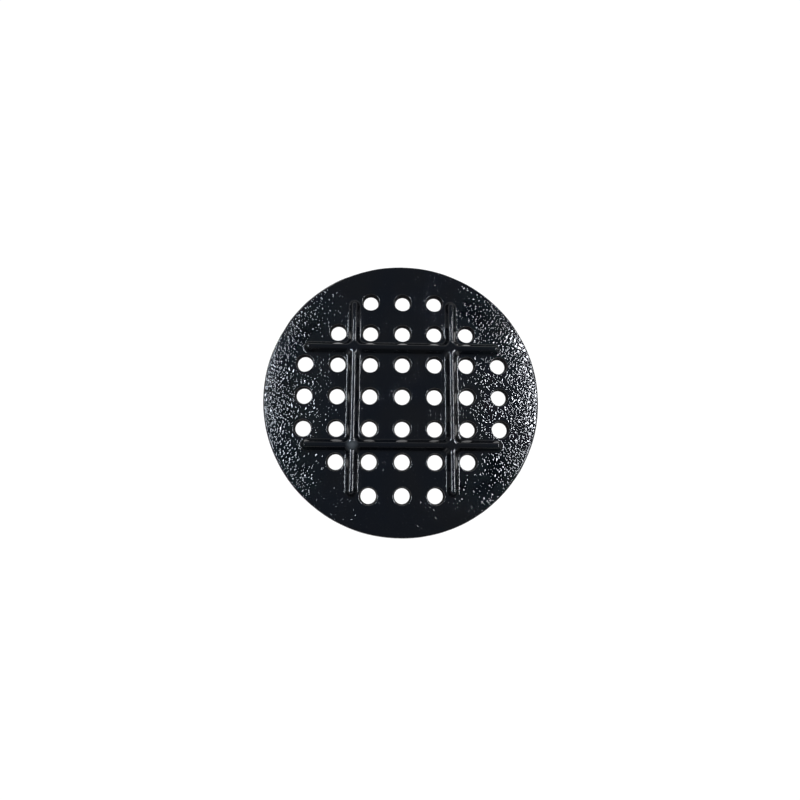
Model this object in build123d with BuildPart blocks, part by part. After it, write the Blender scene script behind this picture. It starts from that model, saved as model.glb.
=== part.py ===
"""Floor drain grate: a round cast-iron strainer plate stiffened by four ribs.

The real grate is one casting. Its plate and its four ribs are written as separate solids that
meet face to face, so that each cast feature can be named, finished and reused on its own.

Frame, in millimetres: the origin is the centre of the flat face, and +Z points from the flat
face to the ribs. rib_left and rib_right run along Y, rib_upper and rib_lower run along X.
"""

import os
from math import atan2, degrees, hypot, radians, tan

from build123d import *

# Plate
plate_diameter = 214.3
plate_thickness = 6.35
rim_rib_side_radius = 1.8
rim_flat_side_radius = 0.8

# Drain holes, on a square grid that fills a round field. Each is narrowest at the flat face and
# widens towards the ribs, as the pattern's draft leaves it.
hole_pitch = 25.4
hole_diameter = 11.6
hole_draft = 10.0
lip_rib_side_radius = 0.8
lip_flat_side_radius = 0.5
field_radius = 3.2 * hole_pitch

# Ribs, each midway between two columns or two rows of holes
rib_offset = 1.5 * hole_pitch
rib_height = 5.0
rib_length = 153.9
rib_base_width = 8.8
rib_crest_width = 3.0
rib_crest_radius = 2.3
rib_foot_radius = 0.8
rib_toe_height = 0.2
crossing_radius = 4.0

# Sizes that follow from those above. The foot fillet runs out on a low toe, just clear of the
# lips of the holes on both sides.
rib_draft = degrees(atan2((rib_base_width - rib_crest_width) / 2, rib_height))
foot_reach = rib_foot_radius * tan(radians(90 - rib_draft) / 2) + 0.02
toe_width = rib_base_width + 2 * foot_reach
toe_length = rib_length + 2 * foot_reach
crossing_width = toe_width + 2 * crossing_radius
middle_span = 2 * rib_offset - crossing_width
end_span = toe_length / 2 - rib_offset - crossing_width / 2
end_span_centre = toe_length / 2 - end_span / 2
cut_height = 2 * rib_height

grid_steps = range(-int(field_radius / hole_pitch), int(field_radius / hole_pitch) + 1)
hole_centres = [
    (column * hole_pitch, row * hole_pitch)
    for row in grid_steps
    for column in grid_steps
    if hypot(column, row) * hole_pitch <= field_radius
]


def rib_outline(length, width):
    """Plan of the four crossing ribs, with round ends and rounded inner corners."""
    with BuildSketch(Plane.XY.offset(plate_thickness)) as outline:
        with Locations((-rib_offset, 0), (rib_offset, 0)):
            SlotOverall(length, width, rotation=90)
        with Locations((0, -rib_offset), (0, rib_offset)):
            SlotOverall(length, width)
        inner_corners = outline.vertices().filter_by(
            lambda corner: max(abs(corner.X), abs(corner.Y)) < rib_offset + width
        )
        fillet(inner_corners, crossing_radius)
    return outline.sketch


def footprint(*areas):
    """Rectangles on the ribbed face, each (centre x, centre y, size x, size y)."""
    with BuildSketch(Plane.XY.offset(plate_thickness)) as marked:
        for centre_x, centre_y, size_x, size_y in areas:
            with Locations((centre_x, centre_y)):
                Rectangle(size_x, size_y)
    return marked.sketch


def cross_rib_areas(centre_y):
    """Where a rib along X lies: its middle span and its two ends, clear of the crossings."""
    return [
        (0, centre_y, middle_span, crossing_width),
        (-end_span_centre, centre_y, end_span, crossing_width),
        (end_span_centre, centre_y, end_span, crossing_width),
    ]


# The plate, with its round field of drain holes and its rounded edges
with BuildPart() as deck_plate:
    with BuildSketch(Plane.XY):
        Circle(plate_diameter / 2)
    extrude(amount=plate_thickness)
    with BuildSketch(Plane.XY):
        with Locations(*hole_centres):
            Circle(hole_diameter / 2)
    extrude(amount=plate_thickness, taper=-hole_draft, mode=Mode.SUBTRACT)
    round_edges = deck_plate.edges().filter_by(GeomType.CIRCLE).group_by(Axis.Z)
    flat_side_edges = round_edges[0].sort_by(SortBy.RADIUS)
    rib_side_edges = round_edges[-1].sort_by(SortBy.RADIUS)
    fillet(flat_side_edges[:-1], lip_flat_side_radius)
    fillet(rib_side_edges[:-1], lip_rib_side_radius)
    fillet(flat_side_edges[-1], rim_flat_side_radius)
    fillet(rib_side_edges[-1], rim_rib_side_radius)

# The whole rib grid as it is cast: a low toe, drafted flanks, a foot fillet and a rounded crest
with BuildPart() as rib_grid:
    extrude(rib_outline(toe_length, toe_width), amount=rib_toe_height)
    extrude(rib_outline(rib_length, rib_base_width), amount=rib_height, taper=rib_draft)
    foot_edges = rib_grid.edges(Select.NEW)
    crest = rib_grid.faces().sort_by(Axis.Z)[-1]
    fillet(crest.edges(), rib_crest_radius)
    fillet(foot_edges, rib_foot_radius)

# Two ribs run through and keep the four crossings
with BuildPart() as rib_left:
    add(rib_grid.part)
    area = footprint((-rib_offset, 0, crossing_width, toe_length))
    extrude(area, amount=cut_height, mode=Mode.INTERSECT)

with BuildPart() as rib_right:
    add(rib_grid.part)
    area = footprint((rib_offset, 0, crossing_width, toe_length))
    extrude(area, amount=cut_height, mode=Mode.INTERSECT)

# The two ribs across them are each three spans, which butt against the crossings
with BuildPart() as rib_upper:
    add(rib_grid.part)
    area = footprint(*cross_rib_areas(rib_offset))
    extrude(area, amount=cut_height, mode=Mode.INTERSECT)

with BuildPart() as rib_lower:
    add(rib_grid.part)
    area = footprint(*cross_rib_areas(-rib_offset))
    extrude(area, amount=cut_height, mode=Mode.INTERSECT)

deck_plate.part.label = "deck_plate"
rib_left.part.label = "rib_left"
rib_right.part.label = "rib_right"
rib_upper.part.label = "rib_upper"
rib_lower.part.label = "rib_lower"

os.makedirs("parts", exist_ok=True)
export_step(deck_plate.part, "parts/deck_plate.step")
export_step(rib_left.part, "parts/rib_left.step")
export_step(rib_right.part, "parts/rib_right.step")
export_step(rib_upper.part, "parts/rib_upper.step")
export_step(rib_lower.part, "parts/rib_lower.step")
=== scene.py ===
"""Looks of the floor drain grate: one black-dipped iron casting, lying on its flat face.

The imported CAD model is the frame. Five closed pieces stand for its five nodes: the plate, the two
ribs that run through, and the two ribs that butt against them. All five take their surface from
the same height rule and the same relief, so they meet without a step and read as one casting.

Shapes are worked out in millimetres and written to the meshes in metres.
"""

from math import cos, hypot, pi, radians, sin, sqrt, tan

import bpy
import numpy as np
from mathutils import Matrix, Vector
from mathutils.geometry import delaunay_2d_cdt


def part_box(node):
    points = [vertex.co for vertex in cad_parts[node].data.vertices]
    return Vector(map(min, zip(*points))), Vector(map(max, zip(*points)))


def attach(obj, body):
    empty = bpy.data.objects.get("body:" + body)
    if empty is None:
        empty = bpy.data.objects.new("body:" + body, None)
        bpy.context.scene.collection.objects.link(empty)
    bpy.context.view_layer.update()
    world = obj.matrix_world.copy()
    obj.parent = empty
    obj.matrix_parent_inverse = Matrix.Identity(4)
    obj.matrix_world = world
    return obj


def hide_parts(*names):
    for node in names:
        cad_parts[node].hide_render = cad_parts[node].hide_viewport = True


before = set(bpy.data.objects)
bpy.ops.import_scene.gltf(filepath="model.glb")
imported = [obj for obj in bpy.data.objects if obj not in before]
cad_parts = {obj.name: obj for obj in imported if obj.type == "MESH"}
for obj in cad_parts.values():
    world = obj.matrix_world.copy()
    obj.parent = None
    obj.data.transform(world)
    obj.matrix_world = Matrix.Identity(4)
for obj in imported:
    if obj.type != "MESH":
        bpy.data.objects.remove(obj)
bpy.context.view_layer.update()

MM = 0.001


def node_box(node):
    """Lowest and highest corner of a CAD node, in millimetres."""
    return [np.array(corner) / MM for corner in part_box(node)]


# Sizes read from the frame
deck_low, deck_high = node_box("deck_plate")
right_low, right_high = node_box("rib_right")
upper_low, upper_high = node_box("rib_upper")
deck_radius = (deck_high[0] - deck_low[0]) / 2
deck_top = deck_high[2]
rib_height = right_high[2] - deck_top
rib_offset = (right_low[0] + right_high[0]) / 2
toe_half = (upper_high[1] - upper_low[1]) / 2
arm_reach = (right_high[0] - right_low[0]) / 2
end_centre = right_high[1] - toe_half
inner_corner_radius = arm_reach - toe_half

# Drain holes: three columns lie between the two ribs, so the ribs stand 1.5 pitches off the middle
hole_pitch = rib_offset / 1.5
field_reach = 3.2  # in pitches
hole_radius = 5.8
hole_draft = radians(10)
lip_radius_above = 0.8
lip_radius_below = 0.5

# Rim, and the plate's slight fall towards it on the ribbed side: where it starts, how steep it ends
rim_radius_above = 1.8
rim_radius_below = 0.8
fall_start = 84.0
fall_tilt = radians(3)

# Section of a rib: a narrow flat crest with rounded edges, drafted flanks and a foot fillet
crest_half = 0.2
crest_radius = 2.2
foot_radius = 1.8
rib_draft = radians(32)

# The plate is sunk this far under the ribs, which stand in it
socket_depth = 0.3
socket_slope = 0.7

# Stub of the pouring gate, knocked off the rim: its middle, its half width, how proud it is, and
# how flat it is across
gate_azimuth = radians(132)
gate_half_width = radians(18)
gate_height = 0.55
gate_squareness = 4

# A lighter spot, a painted highlight standing for a glint on the crest where the left and the lower rib
# cross, and how far off it fades
painted_glint_place = np.array((-rib_offset, -rib_offset, deck_top + rib_height))
painted_glint_core = 1.0
painted_glint_edge = 5.2

# Mesh spacing
top_spacing = 0.86
bottom_spacing = 1.6
hidden_spacing = 2.4
border_gap = 0.42
chord_gap = 0.1
weld_digits = 3
hole_segments = 60
lip_steps = 5
rim_segments = 800

# Where the rounded lips and the rounded rim begin on the ribbed side
hole_radius_above = hole_radius + deck_top * tan(hole_draft)
lip_start = hole_radius_above + lip_radius_above * (1 - sin(hole_draft)) / cos(hole_draft)
fall_end = deck_radius - rim_radius_above * (1 - sin(fall_tilt))

# Where a rib's section changes: the flank's two ends, as heights above the plate and as distances
# from the rib's centre line, and the end of the foot
flank_top = rib_height - crest_radius * (1 - sin(rib_draft))
flank_foot = foot_radius * (1 - sin(rib_draft))
flank_start = crest_half + crest_radius * cos(rib_draft)
flank_end = flank_start + (flank_top - flank_foot) * tan(rib_draft)
foot_end = flank_end + foot_radius * cos(rib_draft)

# The drain holes fill a round field of the grid
grid_steps = range(-int(field_reach), int(field_reach) + 1)
hole_centres = hole_pitch * np.array([
    (column, row) for row in grid_steps for column in grid_steps if hypot(column, row) < field_reach
])


# ---- the smooth surface -------------------------------------------------------------------------


def smooth_step(value):
    """0 below 0 and 1 above 1, with an even change between."""
    share = np.clip(value, 0, 1)
    return share * share * (3 - 2 * share)


def unit(vectors):
    """The vectors at length one, and zero ones left at zero."""
    length = np.linalg.norm(vectors, axis=1)[:, None]
    return vectors / np.maximum(length, 1e-12)


def rib_distance(plan):
    """Distance in plan from the ribs' centre lines, and the direction in which it grows.

    The inner corners where two ribs cross are rounded, as a fillet of inner_corner_radius.
    """
    folded = np.abs(plan)
    beyond = np.maximum(folded[:, ::-1] - end_centre, 0)
    beside = folded - rib_offset
    along_y = np.column_stack((beside[:, 0], beyond[:, 0]))
    along_x = np.column_stack((beyond[:, 1], beside[:, 1]))
    a, b = np.linalg.norm(along_y, axis=1), np.linalg.norm(along_x, axis=1)
    away_a, away_b = unit(along_y), unit(along_x)
    gap = a - b
    rounded = np.abs(gap) < inner_corner_radius
    root = np.sqrt(np.maximum(2 * inner_corner_radius**2 - gap**2, inner_corner_radius**2))
    blend = (a + b + root) / 2 - inner_corner_radius
    distance = np.where(rounded, blend, np.minimum(a, b))
    nearer = np.where((a < b)[:, None], away_a, away_b)
    between = (away_a + away_b - (gap / root)[:, None] * (away_a - away_b)) / 2
    direction = np.where(rounded[:, None], between, nearer) * np.where(plan < 0, -1, 1)
    return np.maximum(distance, 0), direction


def rib_rise(distance):
    """Height of the rib's surface above the plate, and its slope, at a distance in plan."""
    crest = np.clip((distance - crest_half) / crest_radius, 0, cos(rib_draft))
    foot = np.clip((foot_end - distance) / foot_radius, 0, cos(rib_draft))
    on_crest, on_flank = distance < flank_start, distance < flank_end
    crest_height = rib_height - crest_radius * (1 - np.sqrt(1 - crest**2))
    flank_height = flank_top - (distance - flank_start) / tan(rib_draft)
    foot_height = foot_radius * (1 - np.sqrt(1 - foot**2))
    height = np.where(on_crest, crest_height, np.where(on_flank, flank_height, foot_height))
    crest_slope = -crest / np.sqrt(1 - crest**2)
    foot_slope = -foot / np.sqrt(1 - foot**2)
    slope = np.where(on_crest, crest_slope, np.where(on_flank, -1 / tan(rib_draft), foot_slope))
    return height, slope


def edge_fall(radius):
    """How far the plate's ribbed side has fallen at a radius, and its slope there."""
    beyond = np.maximum(radius - fall_start, 0)
    bend = tan(fall_tilt) / (fall_end - fall_start)
    return bend * beyond**2 / 2, bend * beyond


def ribbed_face(plan):
    """Points and normals of the ribbed side over points in plan, ribs included."""
    distance, direction = rib_distance(plan)
    height, slope = rib_rise(distance)
    radius = np.hypot(*plan.T)
    fall, fall_slope = edge_fall(radius)
    outward = plan / np.maximum(radius, 1)[:, None]
    downhill = fall_slope[:, None] * outward - slope[:, None] * direction
    points = np.column_stack((plan, deck_top + height - fall))
    return points, unit(np.column_stack((downhill, np.ones(len(plan)))))


def plate_face(plan):
    """The plate's own top: the ribbed side, but sunk where a rib stands in it."""
    points, normals = ribbed_face(plan)
    inside = toe_half - rib_distance(plan)[0]
    toe_top = deck_top + rib_rise(np.array([toe_half]))[0][0]
    socket = toe_top - (toe_top - deck_top + socket_depth) * smooth_step(inside / socket_slope)
    points[:, 2] = np.where(inside > 0, socket, points[:, 2])
    return points, normals


def hole_distance(plan):
    """Distance in plan from the middle of the nearest drain hole. Where the nearest place on the
    grid has no hole, it is the distance from the middle one."""
    nearest = np.round(plan / hole_pitch)
    in_field = np.hypot(*nearest.T) <= field_reach
    return np.hypot(*(plan - hole_pitch * nearest * in_field[:, None]).T)


# ---- the cast relief ----------------------------------------------------------------------------


def waves(seed, count, shortest, longest, slope):
    """Plane waves at random angles, whose sum is a relief with that typical slope."""
    rng = np.random.default_rng(seed)
    ways = unit(rng.normal(size=(count, 3)))
    lengths = shortest * (longest / shortest) ** rng.random(count)
    vectors = ways * (2 * pi / lengths)[:, None]
    sizes = slope * sqrt(3 / count) * lengths / (2 * pi)
    return vectors, sizes, rng.uniform(0, 2 * pi, count)


def wave_sum(points, wave_set):
    """Height of a sum of waves at each point, and its gradient."""
    vectors, sizes, phases = wave_set
    angles = points @ vectors.T + phases
    return np.sin(angles) @ sizes, (np.cos(angles) * sizes) @ vectors


sand_grain = waves(seed=11, count=100, shortest=1.8, longest=3.6, slope=0.035)
slow_swell = waves(seed=12, count=24, shortest=14, longest=40, slope=0.010)
patches = waves(seed=13, count=16, shortest=25, longest=60, slope=0.06)
patchiness = 0.35
smooth_on_ribs = 0.92
smooth_on_lips = 0.92
smooth_past_rib = 0.5
smooth_past_lip = 1.0


def grain_strength(points):
    """How coarse the grain is: patchy on the plate, finer on the ribs and round the holes, where
    the dip ran together."""
    patchy = 1 + patchiness * np.tanh(wave_sum(points, patches)[0])
    ribbed_side = points[:, 2] > deck_top / 2
    on_rib = ribbed_side * smooth_step(foot_end + smooth_past_rib - rib_distance(points[:, :2])[0])
    on_lip = smooth_step(lip_start + smooth_past_lip - hole_distance(points[:, :2]))
    return patchy * (1 - smooth_on_ribs * on_rib) * (1 - smooth_on_lips * on_lip)


def sand_cast(points, normals):
    """Roughens a smooth surface along its normals. The flat side is only ever lowered into itself,
    so that it still rests on z = 0."""
    grain, grain_slope = wave_sum(points, sand_grain)
    swell, swell_slope = wave_sum(points, slow_swell)
    strength = grain_strength(points)
    height = swell + strength * grain
    gradient = swell_slope + strength[:, None] * grain_slope
    facing_down = np.clip(-normals[:, 2], 0, 1)
    height = height - height.max() * facing_down
    along = np.sum(gradient * normals, axis=1)[:, None] * normals
    return points + height[:, None] * normals, unit(normals - gradient + along)


# ---- mesh helpers -------------------------------------------------------------------------------


def grid_quads(rows, columns, first=0):
    """Corner numbers of the quads between neighbouring rows and columns of points."""
    index = np.arange(rows * columns).reshape(rows, columns) + first
    corners = (index[:-1, :-1], index[:-1, 1:], index[1:, 1:], index[1:, :-1])
    return np.stack(corners, axis=-1).reshape(-1, 4)


def same_points(plan):
    """Plan points with repeats merged, and where each of the old ones went."""
    rounded = np.round(plan, weld_digits) + 0.0
    _, first, where = np.unique(rounded, axis=0, return_index=True, return_inverse=True)
    return plan[first], where.ravel()


def weld(grids):
    """Joins grids of plan points that share borders into one set of points and upward faces."""
    first, quads = 0, []
    for grid in grids:
        quads.append(grid_quads(*grid.shape[:2], first))
        first += grid.shape[0] * grid.shape[1]
    plan, where = same_points(np.vstack([grid.reshape(-1, 2) for grid in grids]))
    faces = [list(dict.fromkeys(face)) for face in where[np.vstack(quads)].tolist()]
    faces = [face for face in faces if len(face) > 2]
    return plan, [face if plan_area(plan[face]) > 0 else face[::-1] for face in faces]


def plan_area(corners):
    """Signed area of a polygon in plan, positive when its corners run anticlockwise."""
    following = np.roll(corners, -1, axis=0)
    return np.sum(corners[:, 0] * following[:, 1] - corners[:, 1] * following[:, 0]) / 2


def open_edges(faces):
    """Directed edges that only one face has."""
    edges = {(a, b) for face in faces for a, b in zip(face, face[1:] + face[:1])}
    return sorted((a, b) for a, b in edges if (b, a) not in edges)


def fill(plan, edges):
    """Triangles over the plan points, inside the closed loops of edges, running anticlockwise."""
    points = [Vector(point) for point in plan.tolist()]
    inside_only, tolerance = 1, 1e-7
    filled = delaunay_2d_cdt(points, edges, [], inside_only, tolerance)
    triangles, origins = filled[2], filled[3]
    origin = [sources[0] for sources in origins]
    return [[origin[corner] for corner in triangle] for triangle in triangles]


def hex_points(radius, spacing):
    """A triangular lattice of plan points over a disc."""
    row_gap = spacing * sqrt(3) / 2
    rows = int(radius / row_gap) + 1
    across = np.arange(-int(radius / spacing) - 1, int(radius / spacing) + 2)
    row, column = np.meshgrid(np.arange(-rows, rows + 1), across, indexing="ij")
    lattice = np.column_stack((((column + (row % 2) / 2) * spacing).ravel(), (row * row_gap).ravel()))
    return lattice[np.hypot(*lattice.T) < radius]


def make_piece(name, node, points, faces, corner_normals, *materials):
    """A closed mesh object that rides with the casting and stands for a CAD node."""
    mesh = bpy.data.meshes.new(name)
    mesh.from_pydata((points * MM).tolist(), [], faces)
    mesh.shade_smooth()
    mesh.normals_split_custom_set(corner_normals.tolist())
    grain = mesh.attributes.new("grain", "FLOAT", "POINT")
    grain.data.foreach_set("value", grain_strength(points).astype(np.float32))
    for material in materials:
        mesh.materials.append(material)
    piece = bpy.data.objects.new(name, mesh)
    bpy.context.scene.collection.objects.link(piece)
    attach(piece, "root")
    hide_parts(node)
    return piece


# ---- the ribs -----------------------------------------------------------------------------------

# How finely the mesh follows a rib's section, its rounded corners, its crossings and its length
crest_steps = 9
flank_steps = 4
foot_steps = 5
corner_steps = 9
arm_steps = 7
plateau_steps = 5
along_spacing = 0.75


def section_distances():
    """Distances from a rib's centre line at which its surface has points, out to the toe."""
    steepest = pi / 2 - rib_draft
    toe_tilt = np.arcsin((foot_end - toe_half) / foot_radius)
    crest = crest_half + crest_radius * np.sin(np.linspace(0, steepest, crest_steps + 1))
    flank = np.linspace(flank_start, flank_end, flank_steps + 1)
    foot = foot_end - foot_radius * np.sin(np.linspace(steepest, toe_tilt, foot_steps + 1))
    return np.concatenate(([0], crest, flank[1:], foot[1:]))


def line(start, stop, steps):
    """Evenly spaced plan points from one point to another."""
    return np.linspace(start, stop, steps + 1)


def arc(centre, radius, start, stop, steps):
    """Plan points along an arc, between two angles in degrees."""
    angles = np.radians(np.linspace(start, stop, steps + 1))
    return centre + radius * np.column_stack((np.cos(angles), np.sin(angles)))


def corner_arc(level, side):
    """The rounded inner corner at one distance from the centre lines, in (along, across): side is
    -1 between the rib's middle and the crossing, and 1 beyond the crossing."""
    reach = level + inner_corner_radius
    start, stop = (-90, 0) if side < 0 else (180, 270)
    centre = np.array((rib_offset + side * reach, reach))
    return arc(centre, inner_corner_radius, start, stop, corner_steps)


def rib_end(start, level, steps):
    """From a point beside the rib and round its end, at one distance from the centre line."""
    straight = line(start, (end_centre, level), steps)
    return np.vstack((straight, arc(np.array((end_centre, 0)), level, 90, 0, corner_steps)[1:]))


def through_grids(levels):
    """A quarter of a rib that runs through its crossing, as grids of (along, across)."""
    inner, outer = [], []
    inner_steps = int((rib_offset - inner_corner_radius) / along_spacing)
    end_steps = int((end_centre - rib_offset - inner_corner_radius) / along_spacing)
    for level in levels:
        near, far = corner_arc(level, -1), corner_arc(level, 1)
        inner_arm = line(near[-1], (rib_offset - level, arm_reach), arm_steps)
        outer_arm = line((rib_offset + level, arm_reach), far[0], arm_steps)
        inner.append(np.vstack((line((0, level), near[0], inner_steps), near[1:], inner_arm[1:])))
        outer.append(np.vstack((outer_arm, far[1:-1], rib_end(far[-1], level, end_steps))))
    plateau = []
    middle = np.array((rib_offset, 0))
    for side in (-1, 1):
        rim = corner_arc(0, side)
        shares = np.linspace(0, 1, plateau_steps + 1)
        plateau.append(np.array([middle + share * (rim - middle) for share in shares]))
    return [np.array(inner), np.array(outer), *plateau]


def span_grids(levels):
    """A quarter of a rib that butts against the crossings: half its middle span, and one end."""
    middle_end, end_start = rib_offset - arm_reach, rib_offset + arm_reach
    middle_steps = int(middle_end / along_spacing)
    end_steps = int((end_centre - end_start) / along_spacing)
    middle = [line((0, level), (middle_end, level), middle_steps) for level in levels]
    end = [rib_end((end_start, level), level, end_steps) for level in levels]
    return [np.array(middle), np.array(end)]


def make_rib(name, node, grids, along_axis, side, material):
    """One rib, closed by a skirt that stands in the plate's socket. Returns its toe's plan edges."""
    mirrored = [grid * (u, v) for grid in grids for u in (1, -1) for v in (1, -1)]
    placed = [grid[..., ::-1] if along_axis == "Y" else grid for grid in mirrored]
    offset = np.array((side * rib_offset, 0) if along_axis == "Y" else (0, side * rib_offset))
    plan, top_faces = weld([grid + offset for grid in placed])
    border = open_edges(top_faces)
    points, normals = sand_cast(*ribbed_face(plan))

    border_points = sorted({corner for edge in border for corner in edge})
    lower = {corner: len(plan) + k for k, corner in enumerate(border_points)}
    underside = np.column_stack((plan[border_points], np.full(len(lower), deck_top - socket_depth)))
    skirt = [[b, a, lower[a], lower[b]] for a, b in border]
    local = {corner: k for k, corner in enumerate(border_points)}
    sole = fill(plan[border_points], [(local[a], local[b]) for a, b in border])
    sole = [[len(plan) + corner for corner in triangle[::-1]] for triangle in sole]

    points = np.vstack((points, underside))
    faces = top_faces + skirt + sole
    corner_normals = [normals[np.concatenate(top_faces)]]
    for face in skirt + sole:
        corners = points[face]
        flat = unit(np.cross(corners[1] - corners[0], corners[2] - corners[0])[None, :])
        corner_normals.append(np.repeat(flat, len(face), axis=0))
    make_piece(name, node, points, faces, np.vstack(corner_normals), material)

    on_toe = rib_distance(plan)[0] > toe_half - 0.001
    return [plan[[a, b]] for a, b in border if on_toe[a] and on_toe[b]]


# ---- the plate ----------------------------------------------------------------------------------


def turn_profile(centre, profile, segments):
    """Rings of points round a vertical axis. A profile row is a radius, a height and the tilt of
    the normal away from straight up, which is negative where the surface faces the axis."""
    radius, height, tilt = (np.array(column)[:, None] for column in zip(*profile))
    angle = np.arange(segments) * 2 * pi / segments
    circle = np.stack((np.cos(angle), np.sin(angle)), axis=-1)
    plan = centre + radius[..., None] * circle
    points = np.dstack((plan, np.broadcast_to(height, plan.shape[:2])))
    normals = np.dstack((np.sin(tilt)[..., None] * circle, np.cos(tilt) * np.ones_like(angle)))
    return points.reshape(-1, 3), normals.reshape(-1, 3)


def fillet_rows(axis_radius, axis_height, radius, start, stop, steps):
    """Profile rows round a fillet, as the normal's tilt goes from start to stop in degrees."""
    tilts = np.radians(np.linspace(start, stop, steps + 1))
    return [(axis_radius + radius * sin(t), axis_height + radius * cos(t), t) for t in tilts]


def hole_profile():
    """A drafted hole with rounded lips, from the ribbed side down."""
    wall_tilt = 90 - np.degrees(hole_draft)
    below = hole_radius + lip_radius_below * (1 + sin(hole_draft)) / cos(hole_draft)
    upper_axis = deck_top - lip_radius_above
    upper = fillet_rows(lip_start, upper_axis, lip_radius_above, 0, -wall_tilt, lip_steps)
    lower = fillet_rows(below, lip_radius_below, lip_radius_below, -wall_tilt, -180, 3)
    middle = tuple((a + b) / 2 for a, b in zip(upper[-1], lower[0]))
    return upper + [middle] + lower


def rim_profile():
    """The plate's outer edge, from the ribbed side down."""
    upper_axis, lower_axis = deck_radius - rim_radius_above, deck_radius - rim_radius_below
    upper_height = deck_top - edge_fall(fall_end)[0] - rim_radius_above * cos(fall_tilt)
    start = np.degrees(fall_tilt)
    upper = fillet_rows(upper_axis, upper_height, rim_radius_above, start, 90, 6)
    lower = fillet_rows(lower_axis, rim_radius_below, rim_radius_below, 90, 180, 3)
    middle = tuple((a + b) / 2 for a, b in zip(upper[-1], lower[0]))
    return upper + [middle] + lower


def ring_faces(rows, segments, first, inward):
    """Quads between rings of points, facing away from the axis, or towards it."""
    index = np.arange(rows * segments).reshape(rows, segments) + first
    onward = np.roll(index, -1, axis=1)
    corners = (index[:-1], index[1:], onward[1:], onward[:-1])
    quads = np.stack(corners, axis=-1).reshape(-1, 4)
    return (quads[:, ::-1] if inward else quads).tolist()


def gate_stub(points, normals):
    """How far the broken gate stands out of the rim's wall at each point."""
    azimuth = np.arctan2(points[:, 1], points[:, 0])
    share = np.clip(np.abs(azimuth - gate_azimuth) / gate_half_width, 0, 1)
    outward = np.linalg.norm(normals[:, :2], axis=1)
    on_rim = np.hypot(points[:, 0], points[:, 1]) > deck_radius - rim_radius_above
    return gate_height * (1 - share**gate_squareness) * outward**2 * on_rim * (share < 1)


def clear_points(spacing, rim, lip):
    """Lattice points of one side of the plate, clear of its rim and of the holes' lips."""
    plan = hex_points(rim - border_gap, spacing)
    return plan[hole_distance(plan) > lip + border_gap]


def loop_edges(first, count):
    """Edges of a closed ring of numbered points."""
    return [(first + k, first + (k + 1) % count) for k in range(count)]


def outside_holes(plan, triangles, lip):
    """The triangles whose middles aren't over a hole. The holes' rims are chords, so a middle may
    lie chord_gap inside the true circle."""
    triangles = np.array(triangles)
    return triangles[hole_distance(plan[triangles].mean(axis=1)) > lip - chord_gap]


def turn_rings():
    """The rim and the walls of the holes, each turned as rings of points.

    Returns the points, the normals, the faces, a 1 for each face that lies in a bore and a 0 for
    the others, and the edges of the first ring and of the last ring of each.
    """
    bore_rows = len(hole_profile()) - 1 - lip_steps
    in_bore = [0] * lip_steps * hole_segments + [1] * bore_rows * hole_segments
    rim_rows = len(rim_profile()) - 1
    turned = [(np.zeros(2), rim_profile(), rim_segments, False, [0] * rim_rows * rim_segments)]
    turned += [(centre, hole_profile(), hole_segments, True, in_bore) for centre in hole_centres]

    points, normals, faces, bore_marks, top_edges, bottom_edges = [], [], [], [], [], []
    for centre, profile, segments, inward, marks in turned:
        first = sum(map(len, points))
        ring_points, ring_normals = turn_profile(centre, profile, segments)
        points.append(ring_points)
        normals.append(ring_normals)
        faces += ring_faces(len(profile), segments, first, inward)
        bore_marks += marks
        top_edges += loop_edges(first, segments)
        bottom_edges += loop_edges(first + (len(profile) - 1) * segments, segments)
    return np.vstack(points), np.vstack(normals), faces, bore_marks, top_edges, bottom_edges


def lift_to_ribs(points, normals):
    """Gives the lip of a hole the rise of a rib's foot, where the two touch."""
    distance, direction = rib_distance(points[:, :2])
    height, slope = rib_rise(distance)
    facing_up = np.clip(normals[:, 2], 0, 1)
    points[:, 2] += height * facing_up
    normals[:, :2] -= (facing_up * slope)[:, None] * direction
    return points, unit(normals)


def fill_side(ring_points, ring_edges, inner_plan, inner_edges, first_inner, lip):
    """Triangles over one side of the plate, between its rings and over its inner points, as
    numbers of the whole plate's points."""
    on_rings = np.array([first for first, _ in ring_edges])
    local = {corner: k for k, corner in enumerate(on_rings.tolist())}
    fixed = [(local[a], local[b]) for a, b in ring_edges]
    fixed += [(len(on_rings) + a, len(on_rings) + b) for a, b in inner_edges]
    plan = np.vstack((ring_points[on_rings, :2], inner_plan))
    numbers = np.concatenate((on_rings, first_inner + np.arange(len(inner_plan))))
    return numbers[outside_holes(plan, fill(plan, fixed), lip)]


def top_layout(toe_edges):
    """Plan points of the ribbed side inside its rings, and the edges that run along the toes of
    the ribs. The points are sparse under the ribs, where nothing shows."""
    rim, lip = rim_profile()[0][0], hole_profile()[0][0]
    toe_plan, toe_index = same_points(np.vstack(toe_edges))
    shown = clear_points(top_spacing, rim, lip)
    shown = shown[rib_distance(shown)[0] > toe_half + border_gap]
    hidden = clear_points(hidden_spacing, rim, lip)
    hidden = hidden[rib_distance(hidden)[0] < toe_half - socket_slope]
    return np.vstack((toe_plan, shown, hidden)), toe_index.reshape(-1, 2)


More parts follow.
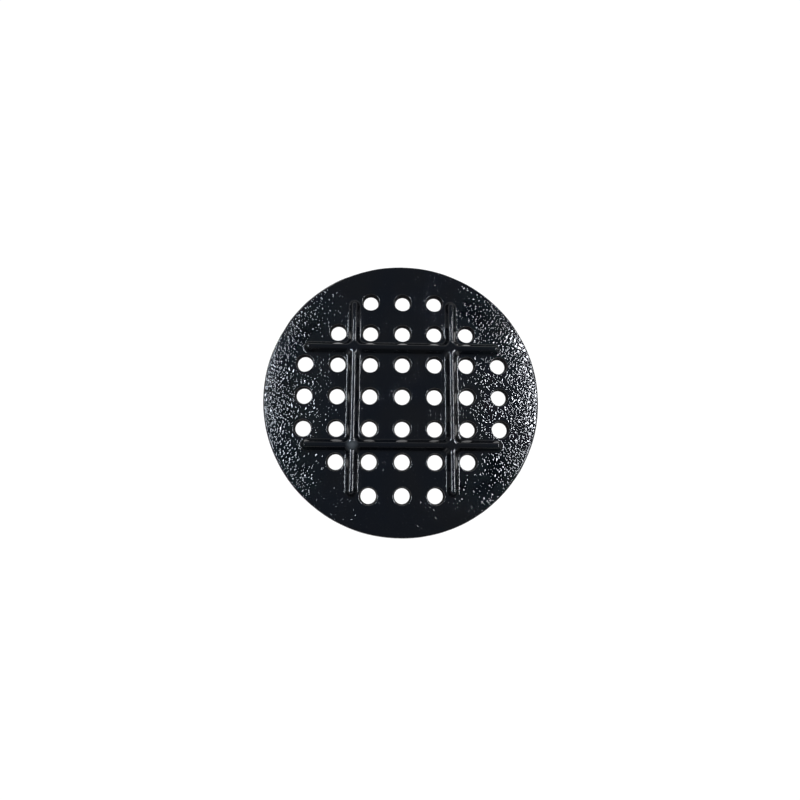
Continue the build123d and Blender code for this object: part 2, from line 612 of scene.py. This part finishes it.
def make_plate(toe_edges, material, bore_material):
    """The plate: its rim, its hole walls, and the two sides that fill between them."""
    ring_points, ring_normals, faces, bore_marks, top_edges, bottom_edges = turn_rings()
    ring_points, ring_normals = lift_to_ribs(ring_points, ring_normals)
    ring_points += gate_stub(ring_points, ring_normals)[:, None] * ring_normals

    top_plan, toe_index = top_layout(toe_edges)
    top_points, top_normals = plate_face(top_plan)
    first_top, lip_above = len(ring_points), hole_profile()[0][0]
    top = fill_side(ring_points, top_edges, top_plan, toe_index, first_top, lip_above)

    lip_below = hole_profile()[-1][0]
    bottom_plan = clear_points(bottom_spacing, rim_profile()[-1][0], lip_below)
    bottom_points = np.column_stack((bottom_plan, np.zeros(len(bottom_plan))))
    bottom_normals = np.tile((0.0, 0.0, -1.0), (len(bottom_plan), 1))
    first_bottom = first_top + len(top_plan)
    bottom = fill_side(ring_points, bottom_edges, bottom_plan, [], first_bottom, lip_below)

    faces += top.tolist() + bottom[:, ::-1].tolist()
    bore_marks += [0] * (len(top) + len(bottom))
    points = np.vstack((ring_points, top_points, bottom_points))
    normals = np.vstack((ring_normals, top_normals, bottom_normals))
    points, normals = sand_cast(points, normals)
    corner_normals = normals[np.concatenate(faces)]
    deck = make_piece("cast_deck", "deck_plate", points, faces, corner_normals, material, bore_material)
    deck.data.polygons.foreach_set("material_index", bore_marks)


# ---- material -----------------------------------------------------------------------------------

# Depths of the bumps: the coating's pebbles and its fine unevenness, and the sand skin in the holes
pebble_depth = 0.14
fine_depth = 0.002
sand_depth = 0.1


class Nodes:
    """Short names for building one material's node tree."""

    def __init__(self, tree):
        self.tree = tree

    def add(self, kind, settings=(), **inputs):
        """A node with some settings and some inputs, which are values or sockets."""
        node = self.tree.nodes.new(kind)
        for name, value in dict(settings).items():
            setattr(node, name, value)
        for name, value in inputs.items():
            self.join(node.inputs[name.replace("_", " ")], value)
        return node

    def join(self, socket, value):
        """Links a socket to an input, or sets the input's value."""
        if isinstance(value, bpy.types.NodeSocket):
            self.tree.links.new(value, socket)
        else:
            socket.default_value = value

    def noise(self, place, scale, detail, roughness=0.5):
        """A noise over the surface, from 0 to 1."""
        node = self.add("ShaderNodeTexNoise", Vector=place, Scale=scale, Detail=detail)
        node.inputs["Roughness"].default_value = roughness
        return node.outputs["Fac"]

    def fit(self, value, low, high, to_low, to_high):
        """A value's range from low to high, mapped to another range and held there."""
        node = self.add("ShaderNodeMapRange", Value=value)
        ends = {"From Min": low, "From Max": high, "To Min": to_low, "To Max": to_high}
        for name, number in ends.items():
            node.inputs[name].default_value = number
        return node.outputs["Result"]

    def mix(self, share, first, second):
        """A mix of two colours."""
        node = self.add("ShaderNodeMix", {"data_type": "RGBA"})
        self.join(node.inputs[0], share)
        self.join(node.inputs[6], first)
        self.join(node.inputs[7], second)
        return node.outputs[2]


def coated_iron():
    """Black dipping varnish over sand-cast iron: glossy, with slow changes of tone and gloss, and a
    painted highlight on one rib crossing.
    """
    material = bpy.data.materials.new("coated_iron")
    material.use_nodes = True
    tree = material.node_tree
    tree.nodes.clear()
    nodes = Nodes(tree)
    place = nodes.add("ShaderNodeTexCoord").outputs["Object"]

    tone = nodes.fit(nodes.noise(place, scale=28, detail=3), 0.35, 0.65, 0, 1)
    black = nodes.mix(tone, (0.0018, 0.0024, 0.0036, 1), (0.0030, 0.0031, 0.0034, 1))
    dust = nodes.fit(nodes.noise(place, scale=900, detail=2), 0.70, 0.82, 0, 1)
    colour = nodes.mix(dust, black, (0.03, 0.03, 0.03, 1))
    # Painted highlight: the crest where the left and the lower rib cross is coloured lighter grey,
    # standing for a glint there
    way_off = nodes.add("ShaderNodeVectorMath", {"operation": "DISTANCE"}, Vector=place)
    way_off.inputs[1].default_value = (*painted_glint_place * MM,)
    painted_glint = nodes.fit(way_off.outputs["Value"], painted_glint_core * MM, painted_glint_edge * MM, 1, 0)
    colour = nodes.mix(painted_glint, colour, (0.045, 0.048, 0.05, 1))

    gloss = nodes.noise(place, scale=60, detail=4, roughness=0.6)
    roughness = nodes.fit(gloss, 0.3, 0.7, 0.06, 0.10)

    pebble = nodes.fit(nodes.noise(place, scale=660, detail=0), 0.50, 0.80, 0, 1)
    fine = nodes.noise(place, scale=2200, detail=1)
    grain = nodes.add("ShaderNodeAttribute", {"attribute_name": "grain"}).outputs["Fac"]
    coarse_bump = nodes.add("ShaderNodeBump", Height=pebble, Strength=grain, Distance=pebble_depth * MM)
    fine_bump = nodes.add("ShaderNodeBump", Height=fine, Strength=1.0, Distance=fine_depth * MM)
    nodes.join(fine_bump.inputs["Normal"], coarse_bump.outputs["Normal"])

    shader = nodes.add("ShaderNodeBsdfPrincipled", Roughness=roughness, IOR=1.5)
    nodes.join(shader.inputs["Base Color"], colour)
    nodes.join(shader.inputs["Normal"], fine_bump.outputs["Normal"])
    output = nodes.add("ShaderNodeOutputMaterial")
    nodes.join(output.inputs["Surface"], shader.outputs["BSDF"])
    return material


def bare_bore():
    """The walls of the holes, where the thin dip has dried dull on the sand skin."""
    material = bpy.data.materials.new("coated_iron_bore")
    material.use_nodes = True
    tree = material.node_tree
    tree.nodes.clear()
    nodes = Nodes(tree)
    place = nodes.add("ShaderNodeTexCoord").outputs["Object"]
    tone = nodes.fit(nodes.noise(place, scale=300, detail=3), 0.35, 0.65, 0, 1)
    colour = nodes.mix(tone, (0.003, 0.003, 0.004, 1), (0.008, 0.007, 0.007, 1))
    skin = nodes.noise(place, scale=1500, detail=2)
    sand = nodes.add("ShaderNodeBump", Height=skin, Strength=1.0, Distance=sand_depth * MM)
    shader = nodes.add("ShaderNodeBsdfPrincipled", Roughness=0.85, IOR=1.2)
    shader.inputs["Specular IOR Level"].default_value = 0.15
    nodes.join(shader.inputs["Base Color"], colour)
    nodes.join(shader.inputs["Normal"], sand.outputs["Normal"])
    output = nodes.add("ShaderNodeOutputMaterial")
    nodes.join(output.inputs["Surface"], shader.outputs["BSDF"])
    return material


# ---- the object ---------------------------------------------------------------------------------


def make_grate():
    """All five pieces of the casting."""
    material, bore_material = coated_iron(), bare_bore()
    levels = section_distances()
    through, span = through_grids(levels), span_grids(levels)
    toe_edges = []
    toe_edges += make_rib("cast_rib_left", "rib_left", through, "Y", -1, material)
    toe_edges += make_rib("cast_rib_right", "rib_right", through, "Y", 1, material)
    toe_edges += make_rib("cast_rib_upper", "rib_upper", span, "X", 1, material)
    toe_edges += make_rib("cast_rib_lower", "rib_lower", span, "X", -1, material)
    make_plate(toe_edges, material, bore_material)


# ---- floor, light and camera --------------------------------------------------------------------


def make_floor():
    """A plain white floor under the grate, bright enough in itself to show no shadow."""
    mesh = bpy.data.meshes.new("floor")
    reach, gap_below = 4.0, 0.2 * MM
    corners = [(-reach, -reach, 0), (reach, -reach, 0), (reach, reach, 0), (-reach, reach, 0)]
    mesh.from_pydata(corners, [], [(0, 1, 2, 3)])
    material = bpy.data.materials.new("floor")
    material.use_nodes = True
    shader = material.node_tree.nodes["Principled BSDF"]
    shader.inputs["Base Color"].default_value = (0.05, 0.05, 0.05, 1)
    shader.inputs["Roughness"].default_value = 0.9
    shader.inputs["Emission Color"].default_value = (1, 1, 1, 1)
    shader.inputs["Emission Strength"].default_value = 1.0
    mesh.materials.append(material)
    floor = bpy.data.objects.new("floor", mesh)
    floor.location.z = -gap_below
    bpy.context.scene.collection.objects.link(floor)


def make_softbox(name, place, size, power, colour):
    """A long rectangular light, aimed at the middle of the grate. Its size is how long it is level
    with the floor, and how wide it is across that."""
    light = bpy.data.lights.new(name, "AREA")
    light.shape = "RECTANGLE"
    light.size, light.size_y = size
    light.energy = power
    light.color = colour
    lamp = bpy.data.objects.new(name, light)
    place = Vector(place)
    lamp.matrix_world = Matrix.Translation(place) @ place.to_track_quat("Z", "Y").to_matrix().to_4x4()
    lamp.visible_camera = False
    bpy.context.scene.collection.objects.link(lamp)


def make_room():
    """Dim overhead and at the front, where the camera leans to, and pale low down elsewhere."""
    walls, ceiling = (0.95, 0.97, 1.0, 1), (0.105, 0.125, 0.165, 1)
    front = (0.09, 0.10, 0.12, 1)
    world = bpy.data.worlds.new("room")
    world.use_nodes = True
    bpy.context.scene.world = world
    nodes = Nodes(world.node_tree)
    way = nodes.add("ShaderNodeTexCoord").outputs["Generated"]
    axes = nodes.add("ShaderNodeSeparateXYZ", Vector=way).outputs
    height = nodes.fit(axes["Z"], 0.0, 0.45, 0, 1)
    room = nodes.mix(height, walls, ceiling)
    past_front = nodes.fit(axes["Y"], -0.75, -0.05, 0, 1)
    colour = nodes.mix(past_front, front, room)
    nodes.join(world.node_tree.nodes["Background"].inputs["Color"], colour)


def make_camera():
    """A camera near the grate, a little towards its lower edge and left of its middle."""
    camera = bpy.data.objects.new("camera", bpy.data.cameras.new("camera"))
    camera.data.sensor_width = 36
    camera.data.lens = 22.5
    sideways, down, distance = -1.9 * MM, -3.0 * MM, 387.4 * MM
    roll = Matrix.Rotation(radians(0.7), 4, "Z")
    lean = Matrix.Rotation(radians(10.0), 4, "X")
    swing = Matrix.Rotation(radians(-2.7), 4, "Y")
    face = Matrix.Translation((0, 0, deck_top * MM))
    camera.matrix_world = face @ roll @ lean @ swing @ Matrix.Translation((sideways, down, distance))
    bpy.context.scene.collection.objects.link(camera)
    bpy.context.scene.camera = camera


make_camera()
make_room()
make_softbox("light_right", place=(0.29, 0.05, 0.36), size=(0.34, 0.014), power=2.4,
             colour=(0.90, 0.93, 1.0))
make_softbox("light_left", place=(-0.28, 0.05, 0.36), size=(0.30, 0.014), power=2.0,
             colour=(0.82, 0.90, 1.0))
make_floor()
make_grate()
bpy.context.scene.view_settings.view_transform = "Standard"
